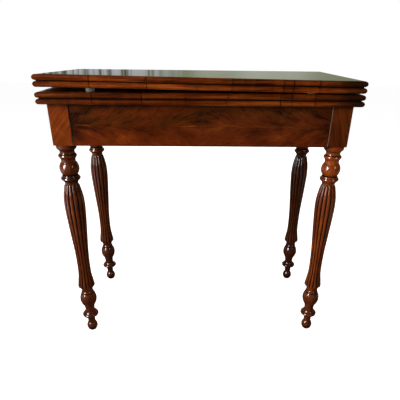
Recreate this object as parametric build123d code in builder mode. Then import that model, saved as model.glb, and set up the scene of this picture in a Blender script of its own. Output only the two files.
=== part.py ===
from build123d import *
import os
from math import atan2, cos, degrees, pi, radians, sin, tan

os.makedirs("parts", exist_ok=True)

# Folding card table. Origin on the floor under the middle of the closed top.
# X runs along the front, Y runs to the back, Z is up. Lengths are millimetres.

# Top: two equal leaves, hinged along the rear edge
top_width = 780.0
leaf_depth = 390.0
leaf_thickness = 28.0
lipping_width = 14.0
quirk_width = 1.6
edging_joint = 0.3
band_width = 45.0
band_joint = 0.1
inlay_thickness = 1.2

# The upper leaf is old and in twist: its front edge stands higher at the left
left_rise = 10.6
right_rise = 2.4

# Joints between the short lengths of edging, as shares of the top's width
lower_joint_shares = (-0.332, -0.181, -0.0495, 0.079, 0.240, 0.275, 0.346)
upper_joint_shares = (-0.334, -0.165, -0.015, 0.090, 0.246, 0.276, 0.355)

# Pads between the leaves
pad_radius = 11.0
pad_end_inset = 125.0
pad_inset = 26.0

# Frame
side_overhang = 19.0
depth_overhang = 17.5
frieze_height = 100.0
block_size = 49.0
rail_thickness = 22.0
veneer_thickness = 1.5
veneer_joint = 0.4
tenon_length = 14.0
tenon_thickness = 8.0
tenon_shoulder = 15.0

# Card well
pivot_rail_thickness = 25.0
housing_depth = 8.0
partition_thickness = 12.0
partition_room = 14.0
well_board_thickness = 8.0
bearer_size = 12.0

# Pivot of the top
bolt_radius = 6.0
bush_wall = 3.0
plate_margin = 10.0
plate_thickness = 3.0
washer_radius = 16.0
washer_thickness = 2.5
nut_across_flats = 19.0
nut_thickness = 10.0
bolt_tail = 4.0
peg_radius = 6.0
peg_room = 3.8
peg_drop = 18.0
peg_socket = 14.0
peg_chamfer = 1.0

# End hinges
hinge_length = 70.0
hinge_thickness = 4.8
hinge_inset = 1.0
lug_radius = 4.0
pin_radius = 1.5
pin_head_radius = 2.8

# Legs: turned below the corner blocks, reeded over the swelling
leg_height = 594.0
leg_radius = 27.5
dowel_radius = 10.0
dowel_length = 35.0
reed_count = 14
reed_depth_share = 0.15

# Clearances
face_clearance = 0.15
rear_clearance = 0.25
seat_clearance = 0.3
glue_clearance = 0.1
bed_clearance = 0.15
running_clearance = 0.05
thrust_clearance = 0.2
stop_clearance = 0.2
cut_overrun = 2.0

# Outline of the leg below the reeds: (share of leg_radius, share of leg_height).
# Stretches run from one list to the next; three points in a list are an arc.
lower_outline_shares = (
    ((0.370, 0.0), (0.585, 0.0232), (0.395, 0.0482)),
    ((0.395, 0.0482), (0.400, 0.0800)),
    ((0.400, 0.0800), (0.560, 0.0850)),
    ((0.560, 0.0850), (0.720, 0.0925)),
    ((0.720, 0.0925), (0.875, 0.1015), (0.740, 0.1100)),
    ((0.740, 0.1100), (0.570, 0.1182), (0.515, 0.1310)),
    ((0.515, 0.1310), (0.525, 0.1460), (0.650, 0.1635)),
    ((0.650, 0.1635), (0.893, 0.2010), (0.690, 0.2335)),
    ((0.690, 0.2335), (0.632, 0.2357)),
    ((0.632, 0.2357), (0.632, 0.2385)),
    ((0.632, 0.2385), (0.662, 0.2412), (0.632, 0.2440)),
    ((0.632, 0.2440), (0.585, 0.2475)),
    ((0.585, 0.2475), (0.585, 0.2550)),
    ((0.585, 0.2550), (0.740, 0.2770)),
)

# Outline above the reeds: neck, ring, ball, ring and collar
upper_outline_shares = (
    ((0.600, 0.8199), (0.618, 0.8266)),
    ((0.618, 0.8266), (0.650, 0.8330)),
    ((0.650, 0.8330), (0.900, 0.8445)),
    ((0.900, 0.8445), (0.920, 0.8490)),
    ((0.920, 0.8490), (0.870, 0.8540)),
    ((0.870, 0.8540), (0.800, 0.8560)),
    ((0.800, 0.8560), (0.770, 0.8615)),
    ((0.770, 0.8615), (0.710, 0.8640)),
    ((0.710, 0.8640), (0.710, 0.8670)),
    ((0.710, 0.8670), (0.920, 0.8920), (0.680, 0.9225)),
    ((0.680, 0.9225), (0.665, 0.9310)),
    ((0.665, 0.9310), (0.690, 0.9370)),
    ((0.690, 0.9370), (0.840, 0.9465)),
    ((0.840, 0.9465), (0.856, 0.9500)),
    ((0.856, 0.9500), (0.810, 0.9550)),
    ((0.810, 0.9550), (0.745, 0.9575)),
    ((0.745, 0.9575), (0.680, 0.9640)),
    ((0.680, 0.9640), (0.690, 0.9710), (0.760, 0.9770)),
    ((0.760, 0.9770), (0.840, 0.9785)),
    ((0.840, 0.9785), (0.910, 0.9835), (0.935, 0.9905)),
    ((0.935, 0.9905), (0.935, 1.0)),
)

# Reeded swelling: (share of leg_radius at the crests, share of leg_height)
reed_station_shares = (
    (0.905, 0.2770),
    (0.800, 0.3110),
    (0.680, 0.3500),
    (0.655, 0.4010),
    (0.705, 0.4850),
    (0.850, 0.5850),
    (0.965, 0.6700),
    (1.000, 0.7200),
    (0.945, 0.7630),
    (0.800, 0.7980),
    (0.700, 0.8199),
)

# Sizes, heights and places that follow from the sizes above
frame_width = top_width - 2 * side_overhang
frame_depth = leaf_depth - 2 * depth_overhang
frame_top = leg_height + frieze_height
hinge_height = frame_top + leaf_thickness
hinge_y = leaf_depth / 2
pivot_x = leaf_depth / 4
pivot_y = leaf_depth / 4
half_width = top_width / 2
panel_half_width = half_width - lipping_width
panel_depth = leaf_depth - lipping_width
inner_half_width = panel_half_width - band_width
inner_depth = panel_depth - band_width
bead_radius = (leaf_thickness - face_clearance - quirk_width) / 4
inlay_face = face_clearance + inlay_thickness
board_face = inlay_face + bed_clearance
left_angle = degrees(atan2(left_rise, leaf_depth))
right_angle = degrees(atan2(right_rise, leaf_depth))

block_x = frame_width / 2 - block_size / 2
block_y = frame_depth / 2 - block_size / 2
between_x = frame_width - 2 * block_size
between_y = frame_depth - 2 * block_size
tenon_height = frieze_height - 2 * tenon_shoulder
tenon_inset = veneer_thickness + (rail_thickness - tenon_thickness) / 2
front_face = -frame_depth / 2
back_face = frame_depth / 2
front_rail_outer = front_face + veneer_thickness
front_rail_inner = front_rail_outer + rail_thickness
back_rail_inner = back_face - rail_thickness
side_face = frame_width / 2
side_rail_outer = side_face - veneer_thickness
side_rail_inner = side_rail_outer - rail_thickness

# The peg swings clear of the back rail and sets the width of the pivot rail
peg_offset = back_rail_inner - pivot_y - peg_radius - peg_room
peg_x = pivot_x - peg_offset
peg_y = pivot_y + peg_offset
pivot_rail_width = 2 * (peg_offset - peg_radius - stop_clearance)
plate_size = pivot_rail_width - 2 * plate_margin
partition_right = pivot_x - washer_radius - partition_room
pivot_rail_bottom = frame_top - pivot_rail_thickness
board_bottom = leg_height + bearer_size
board_top = board_bottom + well_board_thickness
bush_radius = bolt_radius + running_clearance + bush_wall

hinge_height_on_edge = 2 * bead_radius
hinge_outer = half_width - hinge_inset
hinge_inner = hinge_outer - hinge_thickness
lug_thickness = (hinge_thickness - 2 * thrust_clearance) / 2
lug_reach = lug_radius + seat_clearance

UPPER = 1
LOWER = -1


def twist_angle(side, x):
    """Degrees that a cross-section of a leaf at x is raised about the hinge line."""
    if side == LOWER:
        return 0.0
    share = min(max((x + inner_half_width) / (2 * inner_half_width), 0.0), 1.0)
    return left_angle + (right_angle - left_angle) * share


def across(side, x):
    """Plane square to X: local x is the depth from the hinge line, local y is up."""
    a = radians(twist_angle(side, x))
    return Plane(origin=(x, hinge_y, hinge_height), x_dir=(0, -cos(a), sin(a)), z_dir=(-1, 0, 0))


def along(side, x, depth):
    """Plane facing the front at one depth: local x is X, local y is up."""
    a = radians(twist_angle(side, x))
    origin = (0, hinge_y - depth * cos(a), hinge_height + depth * sin(a))
    return Plane(origin=origin, x_dir=(1, 0, 0), z_dir=(0, -cos(a), sin(a)))


def flat_on(side, x, level):
    """Plane on a leaf at one level from the hinge line: local x is X, local y runs back."""
    a = radians(twist_angle(side, x))
    origin = (0, hinge_y + level * sin(a), hinge_height + level * cos(a))
    return Plane(origin=origin, x_dir=(1, 0, 0), z_dir=(0, sin(a), cos(a)))


def outline(plane, points):
    """Closed straight-sided face on a plane."""
    with BuildSketch(plane) as sketch:
        with BuildLine():
            Polyline(*points, close=True)
        make_face()
    return sketch.sketch


def beaded_outline(plane, base, edge, sign, side):
    """Section of the edging: two half-round beads with a quirk between them."""
    crest = edge * sign
    floor = (edge - bead_radius) * sign
    start = base * sign
    first = face_clearance * side
    first_end = (face_clearance + 2 * bead_radius) * side
    second = first_end + quirk_width * side
    last = leaf_thickness * side
    with BuildSketch(plane) as sketch:
        with BuildLine():
            Line((start, first), (floor, first))
            ThreePointArc((floor, first), (crest, (first + first_end) / 2), (floor, first_end))
            Line((floor, first_end), (floor, second))
            ThreePointArc((floor, second), (crest, (second + last) / 2), (floor, last))
            Line((floor, last), (start, last))
            Line((start, last), (start, first))
        make_face()
    return sketch.sketch


def stations(x0, x1):
    """X places where a run along a leaf needs a section."""
    breaks = [x for x in (-inner_half_width, inner_half_width) if x0 < x < x1]
    return [x0] + breaks + [x1]


def slab_sections(side, x0, x1, depth0, depth1, level0, level1):
    """Sections of a slab that runs along X and follows the leaf's twist."""
    corners = (
        (depth0, level0 * side),
        (depth1, level0 * side),
        (depth1, level1 * side),
        (depth0, level1 * side),
    )
    return [outline(across(side, x), corners) for x in stations(x0, x1)]


def mitre_plane(side, end):
    """Upright plane through a front corner of a leaf, facing the middle of the front edge."""
    x = end * half_width
    a = radians(twist_angle(side, x))
    depth_dir = Vector(0, -cos(a), sin(a))
    origin = Vector(x, hinge_y, hinge_height) + depth_dir * leaf_depth
    return Plane(origin=origin, x_dir=(0, sin(a), cos(a)), z_dir=Vector(-end, 0, 0) + depth_dir)


def save(piece, label):
    """Label a finished piece and write it."""
    piece.part.label = label
    export_step(piece.part, "parts/" + label + ".step")


def leaf_panel(side, label):
    """Board of one leaf, with sockets for what is let into it."""
    left, right = -panel_half_width, panel_half_width
    sections = slab_sections(side, left, right, rear_clearance, panel_depth, board_face, leaf_thickness)
    with BuildPart() as panel:
        loft(sections=sections, ruled=True)
        if side == LOWER:
            with BuildSketch(Plane.XY.offset(frame_top)):
                with Locations((pivot_x, pivot_y)):
                    Rectangle(plate_size, plate_size)
            extrude(amount=plate_thickness, mode=Mode.SUBTRACT)
            with BuildSketch(Plane.XY.offset(frame_top)):
                with Locations((peg_x, peg_y)):
                    Circle(peg_radius + glue_clearance)
            extrude(amount=peg_socket, mode=Mode.SUBTRACT)
    save(panel, label)


def front_lipping(side, joint_shares, label):
    """Front edging in short lengths, mitred at both ends."""
    joints = [share * top_width for share in joint_shares]
    starts = [-half_width] + [x + edging_joint / 2 for x in joints]
    stops = [x - edging_joint / 2 for x in joints] + [half_width]
    with BuildPart() as lipping:
        for x0, x1 in zip(starts, stops):
            sections = [
                beaded_outline(across(side, x), panel_depth, leaf_depth, 1, side) for x in stations(x0, x1)
            ]
            loft(sections=sections, ruled=True, clean=False)
        split(bisect_by=mitre_plane(side, -1), keep=Keep.TOP)
        split(bisect_by=mitre_plane(side, 1), keep=Keep.TOP)
    save(lipping, label)


def end_lipping(side, end, label):
    """Edging along one end, mitred at the front and cut back for the hinge at the rear."""
    x = end * half_width
    run = leaf_depth - rear_clearance
    with BuildPart() as lipping:
        section = beaded_outline(along(side, x, rear_clearance), panel_half_width, half_width, end, side)
        extrude(to_extrude=section, amount=run)
        split(bisect_by=mitre_plane(side, end), keep=Keep.BOTTOM)
        x0 = end * (hinge_inner - glue_clearance)
        x1 = end * (half_width + cut_overrun)
        level0 = -cut_overrun * side
        level1 = (face_clearance + hinge_height_on_edge + glue_clearance) * side
        recess = outline(
            along(side, x, -cut_overrun), ((x0, level0), (x1, level0), (x1, level1), (x0, level1))
        )
        extrude(to_extrude=recess, amount=cut_overrun + hinge_length + glue_clearance, mode=Mode.SUBTRACT)
    save(lipping, label)


def crossband(side, label):
    """Three strips of crossband round the baize, mitred at the front corners."""
    level = face_clearance * side
    left, right = -panel_half_width, panel_half_width
    sections = slab_sections(side, left, right, inner_depth, panel_depth, face_clearance, inlay_face)
    with BuildPart() as band:
        loft(sections=sections, ruled=True)
        split(bisect_by=mitre_plane(side, -1), keep=Keep.TOP)
        split(bisect_by=mitre_plane(side, 1), keep=Keep.TOP)
        for end in (-1, 1):
            x = end * half_width
            corners = (
                (end * inner_half_width, -rear_clearance),
                (end * panel_half_width, -rear_clearance),
                (end * panel_half_width, band_joint - panel_depth),
                (end * inner_half_width, band_joint - inner_depth),
            )
            strip = outline(flat_on(side, x, level), corners)
            extrude(to_extrude=strip, amount=inlay_thickness * side, clean=False)
    save(band, label)


def baize(side, label):
    """Cloth of one half of the playing surface."""
    left, right = -inner_half_width, inner_half_width
    sections = slab_sections(side, left, right, rear_clearance, inner_depth, face_clearance, inlay_face)
    with BuildPart() as cloth:
        loft(sections=sections, ruled=True)
    save(cloth, label)


def hinge_plate(side, end, label):
    """Brass plate let into a leaf's end, with a lug round the pin at its rear corner."""
    x = end * half_width
    low = face_clearance * side
    high = (face_clearance + hinge_height_on_edge) * side
    if side == LOWER:
        lug_from = hinge_inner + thrust_clearance
    else:
        lug_from = hinge_outer - lug_thickness
    hole_radius = pin_radius if side == LOWER else pin_radius + running_clearance
    turned = across(side, x)
    lug_plane = Plane(
        origin=(end * lug_from, hinge_y, hinge_height), x_dir=turned.x_dir, z_dir=turned.z_dir
    )
    lug_run = lug_thickness if end < 0 else -lug_thickness
    x0 = end * hinge_inner
    x1 = end * hinge_outer
    with BuildPart() as plate:
        body = outline(along(side, x, lug_reach), ((x0, low), (x1, low), (x1, high), (x0, high)))
        extrude(to_extrude=body, amount=hinge_length - lug_reach)
        with BuildSketch(lug_plane) as lug:
            Circle(lug_radius)
            with BuildLine():
                Polyline(
                    (0, low),
                    (lug_reach, low),
                    (lug_reach, lug_radius * side),
                    (0, lug_radius * side),
                    close=True,
                )
            make_face()
            Circle(hole_radius, mode=Mode.SUBTRACT)
        extrude(to_extrude=lug.sketch, amount=lug_run)
    save(plate, label)


def hinge_pin(end, label):
    """Pin of one end hinge, with its head outside."""
    shank_start = (end * (hinge_inner + thrust_clearance), hinge_y, hinge_height)
    head_start = (end * (hinge_outer + thrust_clearance), hinge_y, hinge_height)
    with BuildPart() as pin:
        with BuildSketch(Plane(origin=shank_start, z_dir=(end, 0, 0))):
            Circle(pin_radius)
        extrude(amount=hinge_thickness)
        with BuildSketch(Plane(origin=head_start, z_dir=(end, 0, 0))):
            Circle(pin_head_radius)
        extrude(amount=hinge_inset - thrust_clearance)
    save(pin, label)


def pad(end, label):
    """Pad on the lower leaf that carries the front of the upper leaf."""
    depth = leaf_depth - pad_inset
    x = end * (half_width - pad_end_inset)
    lowest = min(twist_angle(UPPER, x - pad_radius), twist_angle(UPPER, x + pad_radius))
    room = (depth - pad_radius) * tan(radians(lowest)) + 2 * face_clearance
    with BuildPart() as disc:
        with BuildSketch(Plane.XY.offset(hinge_height - face_clearance)):
            with Locations((x, hinge_y - depth)):
                Circle(pad_radius)
        extrude(amount=room - seat_clearance)
    save(disc, label)


# Leaves
leaf_panel(LOWER, "lower_leaf_panel")
leaf_panel(UPPER, "upper_leaf_panel")
front_lipping(LOWER, lower_joint_shares, "lower_front_lipping")
front_lipping(UPPER, upper_joint_shares, "upper_front_lipping")
crossband(LOWER, "lower_crossband")
crossband(UPPER, "upper_crossband")
baize(LOWER, "lower_baize")
baize(UPPER, "upper_baize")
for end, end_name in ((-1, "left"), (1, "right")):
    end_lipping(LOWER, end, "lower_" + end_name + "_lipping")
    end_lipping(UPPER, end, "upper_" + end_name + "_lipping")
    hinge_plate(LOWER, end, "lower_" + end_name + "_hinge_plate")
    hinge_plate(UPPER, end, "upper_" + end_name + "_hinge_plate")
    hinge_pin(end, end_name + "_hinge_pin")
    pad(end, end_name + "_pad")


def long_rail(depth_end, outer, inner, label):
    """Front or back rail, housed for the pivot rail and tenoned into the corner blocks."""
    tenon_y = depth_end * (frame_depth / 2 - tenon_inset - tenon_thickness / 2)
    with BuildPart() as rail:
        with BuildSketch(Plane.XY.offset(leg_height)):
            with Locations((0, (outer + inner) / 2)):
                Rectangle(between_x, rail_thickness)
        extrude(amount=frieze_height)
        with BuildSketch(Plane.XY.offset(leg_height + tenon_shoulder)):
            with Locations((0, tenon_y)):
                Rectangle(between_x + 2 * tenon_length, tenon_thickness)
        extrude(amount=tenon_height)
        with BuildSketch(Plane.XY.offset(pivot_rail_bottom)):
            with Locations((pivot_x, inner)):
                Rectangle(pivot_rail_width, 2 * housing_depth)
        extrude(amount=pivot_rail_thickness, mode=Mode.SUBTRACT)
    save(rail, label)


# Rails: the front one stands back by its veneer, the back one is bare
long_rail(-1, front_rail_outer, front_rail_inner, "front_rail")
long_rail(1, back_face, back_rail_inner, "back_rail")

for end, end_name in ((-1, "left"), (1, "right")):
    with BuildPart() as side_rail:
        with BuildSketch(Plane.XY.offset(leg_height)):
            with Locations((end * (side_rail_outer + side_rail_inner) / 2, 0)):
                Rectangle(rail_thickness, between_y)
        extrude(amount=frieze_height)
        with BuildSketch(Plane.XY.offset(leg_height + tenon_shoulder)):
            with Locations((end * (side_face - tenon_inset - tenon_thickness / 2), 0)):
                Rectangle(tenon_thickness, between_y + 2 * tenon_length)
        extrude(amount=tenon_height)
    save(side_rail, end_name + "_rail")

# Figured veneer on the front and both sides, with a fine joint beside each block
with BuildPart() as front_veneer:
    with BuildSketch(Plane.XY.offset(leg_height)):
        with Locations((0, front_face + veneer_thickness / 2)):
            Rectangle(between_x - 2 * veneer_joint, veneer_thickness)
    extrude(amount=frieze_height)
save(front_veneer, "front_veneer")

for end, end_name in ((-1, "left"), (1, "right")):
    with BuildPart() as side_veneer:
        with BuildSketch(Plane.XY.offset(leg_height)):
            with Locations((end * (side_face - veneer_thickness / 2), 0)):
                Rectangle(veneer_thickness, between_y - 2 * veneer_joint)
        extrude(amount=frieze_height)
    save(side_veneer, end_name + "_veneer")


def corner_block(end, depth_end, label):
    """Corner block with a mortise from each rail and a round mortise for the leg."""
    x = end * block_x
    y = depth_end * block_y
    mortise = tenon_length + glue_clearance
    width = tenon_thickness + 2 * glue_clearance
    inner_x = end * (block_x - block_size / 2)
    inner_y = depth_end * (block_y - block_size / 2)
    tenon_y = depth_end * (frame_depth / 2 - tenon_inset - tenon_thickness / 2)
    tenon_x = end * (side_face - tenon_inset - tenon_thickness / 2)
    with BuildPart() as block:
        with BuildSketch(Plane.XY.offset(leg_height)):
            with Locations((x, y)):
                Rectangle(block_size, block_size)
        extrude(amount=frieze_height)
        with BuildSketch(Plane.XY.offset(leg_height + tenon_shoulder - glue_clearance)):
            with Locations((inner_x, tenon_y)):
                Rectangle(2 * mortise, width)
            with Locations((tenon_x, inner_y)):
                Rectangle(width, 2 * mortise)
        extrude(amount=tenon_height + 2 * glue_clearance, mode=Mode.SUBTRACT)
        with BuildSketch(Plane.XY.offset(leg_height)):
            with Locations((x, y)):
                Circle(dowel_radius + glue_clearance)
        extrude(amount=dowel_length + glue_clearance, mode=Mode.SUBTRACT)
    save(block, label)


def turned_face(plane, stretches):
    """Half outline of a turned stretch, closed on the leg's axis."""
    def place(shares):
        return (shares[0] * leg_radius, shares[1] * leg_height)

    first = place(stretches[0][0])
    last = place(stretches[-1][-1])
    with BuildSketch(plane) as sketch:
        with BuildLine():
            for stretch in stretches:
                points = [place(shares) for shares in stretch]
                if len(points) == 3:
                    ThreePointArc(*points)
                else:
                    Line(*points)
            Line(last, (0, last[1]))
            Line((0, last[1]), (0, first[1]))
            Line((0, first[1]), first)
        make_face()
    return sketch.sketch


def reeded_face(plane, radius):
    """Section of the reeded swelling: a ring of convex reeds."""
    groove = radius * (1 - reed_depth_share)
    step = 2 * pi / reed_count
    with BuildSketch(plane) as sketch:
        with BuildLine():
            for i in range(reed_count):
                start = (groove * cos(i * step), groove * sin(i * step))
                crest = (radius * cos((i + 0.5) * step), radius * sin((i + 0.5) * step))
                stop = (groove * cos((i + 1) % reed_count * step), groove * sin((i + 1) % reed_count * step))
                ThreePointArc(start, crest, stop)
        make_face()
    return sketch.sketch


def leg(end, depth_end, label):
    """Turned leg with its reeded swelling and the dowel that holds it in the corner block."""
    x = end * block_x
    y = depth_end * block_y
    upright = Plane(origin=(x, y, 0), x_dir=(1, 0, 0), z_dir=(0, -1, 0))
    axis = Axis((x, y, 0), (0, 0, 1))
    with BuildPart() as turned_leg:
        revolve(profiles=turned_face(upright, lower_outline_shares), axis=axis)
        sections = [
            reeded_face(Plane(origin=(x, y, height * leg_height)), radius * leg_radius)
            for radius, height in reed_station_shares
        ]
        loft(sections=sections, ruled=True)
        revolve(profiles=turned_face(upright, upper_outline_shares), axis=axis)
        with BuildSketch(Plane(origin=(x, y, leg_height))):
            Circle(dowel_radius)
        extrude(amount=dowel_length)
    save(turned_leg, label)


for end, end_name in ((-1, "left"), (1, "right")):
    for depth_end, depth_name in ((-1, "front"), (1, "back")):
        corner_block(end, depth_end, "corner_block_" + depth_name + "_" + end_name)
        leg(end, depth_end, "leg_" + depth_name + "_" + end_name)

# Pivot rail, housed in the front and back rails
with BuildPart() as pivot_rail:
    rail_front = front_rail_inner - housing_depth
    rail_back = back_rail_inner + housing_depth
    with BuildSketch(Plane.XY.offset(pivot_rail_bottom)):
        with Locations((pivot_x, (rail_front + rail_back) / 2)):
            Rectangle(pivot_rail_width, rail_back - rail_front)
        with Locations((pivot_x, pivot_y)):
            Circle(bush_radius, mode=Mode.SUBTRACT)
    extrude(amount=pivot_rail_thickness)
save(pivot_rail, "pivot_rail")

# Bush in the pivot rail
with BuildPart() as pivot_bush:
    with BuildSketch(Plane.XY.offset(pivot_rail_bottom)):
        with Locations((pivot_x, pivot_y)):
            Circle(bush_radius)
            Circle(bolt_radius + running_clearance, mode=Mode.SUBTRACT)
    extrude(amount=pivot_rail_thickness)
save(pivot_bush, "pivot_bush")

# Partition under the pivot rail that closes the card well
with BuildPart() as well_partition:
    with BuildSketch(Plane.XY.offset(board_top)):
        with Locations((partition_right - partition_thickness / 2, (front_rail_inner + back_rail_inner) / 2)):
            Rectangle(partition_thickness, back_rail_inner - front_rail_inner)
    extrude(amount=pivot_rail_bottom - board_top)
save(well_partition, "well_partition")

# Bottom board of the well, notched round the corner blocks
with BuildPart() as well_board:
    with BuildSketch(Plane.XY.offset(board_bottom)):
        with Locations(((partition_right - side_rail_inner) / 2, (front_rail_inner + back_rail_inner) / 2)):
            Rectangle(partition_right + side_rail_inner, back_rail_inner - front_rail_inner)
        with Locations((-block_x, -block_y), (-block_x, block_y)):
            Rectangle(block_size, block_size, mode=Mode.SUBTRACT)
    extrude(amount=well_board_thickness)
save(well_board, "well_board")

# Bearers under the board, glued inside the front and back rails
with BuildPart() as well_bearers:
    bearer_left = -frame_width / 2 + block_size
    with BuildSketch(Plane.XY.offset(leg_height)):
        with Locations(((bearer_left + partition_right) / 2, front_rail_inner + bearer_size / 2)):
            Rectangle(partition_right - bearer_left, bearer_size)
        with Locations(((bearer_left + partition_right) / 2, back_rail_inner - bearer_size / 2)):
            Rectangle(partition_right - bearer_left, bearer_size)
    extrude(amount=bearer_size)
save(well_bearers, "well_bearers")

# Pivot plate let into the underside of the lower leaf
with BuildPart() as pivot_plate:
    with BuildSketch(Plane.XY.offset(frame_top)):
        with Locations((pivot_x, pivot_y)):
            Rectangle(plate_size, plate_size)
            Circle(bolt_radius, mode=Mode.SUBTRACT)
    extrude(amount=plate_thickness)
save(pivot_plate, "pivot_plate")

# Pivot bolt, fast in the plate and running in the bush
bolt_bottom = pivot_rail_bottom - thrust_clearance - washer_thickness - nut_thickness - bolt_tail
with BuildPart() as pivot_bolt:
    with BuildSketch(Plane.XY.offset(bolt_bottom)):
        with Locations((pivot_x, pivot_y)):
            Circle(bolt_radius)
    extrude(amount=frame_top + plate_thickness - bolt_bottom)
save(pivot_bolt, "pivot_bolt")

# Washer and nut under the pivot rail
with BuildPart() as pivot_washer:
    with BuildSketch(Plane.XY.offset(pivot_rail_bottom - thrust_clearance)):
        with Locations((pivot_x, pivot_y)):
            Circle(washer_radius)
            Circle(bolt_radius, mode=Mode.SUBTRACT)
    extrude(amount=-washer_thickness)
save(pivot_washer, "pivot_washer")

with BuildPart() as pivot_nut:
    with BuildSketch(Plane.XY.offset(pivot_rail_bottom - thrust_clearance - washer_thickness)):
        with Locations((pivot_x, pivot_y)):
            RegularPolygon(nut_across_flats / 2, 6, major_radius=False)
            Circle(bolt_radius, mode=Mode.SUBTRACT)
    extrude(amount=-nut_thickness)
save(pivot_nut, "pivot_nut")

# Stop peg: it meets the left face of the pivot rail at both ends of the quarter turn
with BuildPart() as stop_peg:
    with BuildSketch(Plane.XY.offset(frame_top - peg_drop)):
        with Locations((peg_x, peg_y)):
            Circle(peg_radius)
    extrude(amount=peg_drop + peg_socket)
    chamfer(stop_peg.edges().group_by(Axis.Z)[0], length=peg_chamfer)
save(stop_peg, "stop_peg")
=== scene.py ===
"""Folding card table: turned and reeded legs, beaded edging, french polish and baize."""
import math

import bmesh
import bpy
from mathutils import Matrix, Vector


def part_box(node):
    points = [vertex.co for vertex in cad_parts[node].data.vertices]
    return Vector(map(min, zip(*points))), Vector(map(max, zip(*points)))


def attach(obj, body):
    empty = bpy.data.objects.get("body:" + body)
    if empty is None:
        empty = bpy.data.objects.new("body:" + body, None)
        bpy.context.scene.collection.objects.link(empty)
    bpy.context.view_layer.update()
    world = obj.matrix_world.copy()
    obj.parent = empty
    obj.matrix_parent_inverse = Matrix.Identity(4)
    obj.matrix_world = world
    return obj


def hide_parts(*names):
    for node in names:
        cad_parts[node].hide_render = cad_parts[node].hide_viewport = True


bl_info = {
    "name": "Folding card table",
    "version": (1, 0, 0),
    "blender": (4, 5, 0),
    "location": "3D View > Sidebar > Card table",
    "description": "Dresses the folding card table and sets the stage for it",
    "category": "Add Mesh",
}

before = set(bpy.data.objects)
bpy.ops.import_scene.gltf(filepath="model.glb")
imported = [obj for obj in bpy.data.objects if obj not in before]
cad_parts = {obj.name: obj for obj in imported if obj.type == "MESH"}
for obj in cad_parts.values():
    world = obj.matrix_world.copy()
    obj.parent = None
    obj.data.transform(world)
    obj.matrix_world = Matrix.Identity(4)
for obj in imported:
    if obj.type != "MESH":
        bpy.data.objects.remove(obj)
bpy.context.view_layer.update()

MM = 0.001

# Points nearer than this are one point; the finer value keeps the arrises of the turning and the beads
MERGE = 0.00001
FINE_MERGE = 0.000002

# Numbers that differ by less than this count as the same
TINY = 1e-6

# Outline of a leg from the floor to the corner block: shares of its radius and of its height.
# A point marked ARC is the middle of an arc from the point before it to the point after it.
ARC = True
ARC_STEPS = 10
FOOT_TO_REEDS = (
    (0.370, 0.0), (0.585, 0.0232, ARC), (0.395, 0.0482), (0.400, 0.0800), (0.560, 0.0850), (0.720, 0.0925),
    (0.840, 0.0960, ARC), (0.868, 0.1003), (0.830, 0.1012), (0.868, 0.1021), (0.835, 0.1065, ARC),
    (0.740, 0.1100), (0.570, 0.1182, ARC), (0.515, 0.1310), (0.525, 0.1460, ARC), (0.650, 0.1635),
    (0.893, 0.2010, ARC), (0.690, 0.2335), (0.600, 0.2345), (0.632, 0.2357), (0.632, 0.2385),
    (0.662, 0.2412, ARC), (0.632, 0.2440), (0.585, 0.2475), (0.585, 0.2550), (0.740, 0.2766),
)
NECK_TO_COLLAR = (
    (0.628, 0.8199), (0.618, 0.8266), (0.650, 0.8330), (0.900, 0.8445), (0.920, 0.8490), (0.870, 0.8540),
    (0.800, 0.8560), (0.770, 0.8615), (0.710, 0.8640), (0.670, 0.8655), (0.710, 0.8670),
    (0.920, 0.8920, ARC), (0.680, 0.9225), (0.665, 0.9310), (0.690, 0.9370), (0.840, 0.9465),
    (0.856, 0.9500), (0.810, 0.9550), (0.745, 0.9575), (0.690, 0.9585), (0.700, 0.9605), (0.680, 0.9640),
    (0.690, 0.9710, ARC), (0.760, 0.9765), (0.725, 0.9773), (0.840, 0.9788), (0.910, 0.9835, ARC),
    (0.935, 0.9905), (0.935, 1.0),
)

# The crests of the reeds. Where the grooves run out, a third value is their depth as a share of the radius.
GROOVE = 0.16
REEDED_SWELLING = (
    (0.885, 0.2770, 0.10), (0.903, 0.2782, 0.15), (0.892, 0.2811), (0.856, 0.2930), (0.800, 0.3110),
    (0.730, 0.3300), (0.680, 0.3500), (0.658, 0.3750), (0.655, 0.4010), (0.667, 0.4400), (0.705, 0.4850),
    (0.776, 0.5350), (0.850, 0.5850), (0.915, 0.6300), (0.965, 0.6700), (0.992, 0.6980), (1.000, 0.7200),
    (0.985, 0.7430), (0.945, 0.7630), (0.880, 0.7820), (0.805, 0.7980), (0.766, 0.8060),
    (0.738, 0.8115, 0.150), (0.712, 0.8155, 0.130), (0.684, 0.8182, 0.090), (0.655, 0.8196, 0.040),
)

# Joints between the short lengths of front edging, as shares of the top's width
LOWER_JOINTS = (-0.332, -0.181, -0.0495, 0.079, 0.240, 0.275, 0.346)
UPPER_JOINTS = (-0.334, -0.165, -0.015, 0.090, 0.246, 0.276, 0.355)

# How light each length is, from 0 to 1: each length's own tone, with painted light that rises towards the
# middle of the upper run
LOWER_TONES_AND_LIGHT = (0.46, 0.44, 0.54, 0.48, 0.54, 0.46, 0.50, 0.42)
UPPER_TONES_AND_LIGHT = (0.46, 0.57, 0.68, 0.70, 0.58, 0.58, 0.54, 0.46)

LOWER, UPPER = -1, 1
UPRIGHT = (0, math.radians(90), 0)
SIDEWAYS = (0, 0, math.radians(90))


# Settings


def amount(name, description, default, **kind):
    return bpy.props.FloatProperty(name=name, description=description, default=default, **kind)


def size(name, description, default):
    return amount(name, description, default, unit="LENGTH")


def turned_by(name, description, degrees):
    return amount(name, description, math.radians(degrees), subtype="ANGLE")


def tint(name, description, red, green, blue):
    return bpy.props.FloatVectorProperty(
        name=name, description=description, subtype="COLOR", size=4, default=(red, green, blue, 1)
    )


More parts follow.
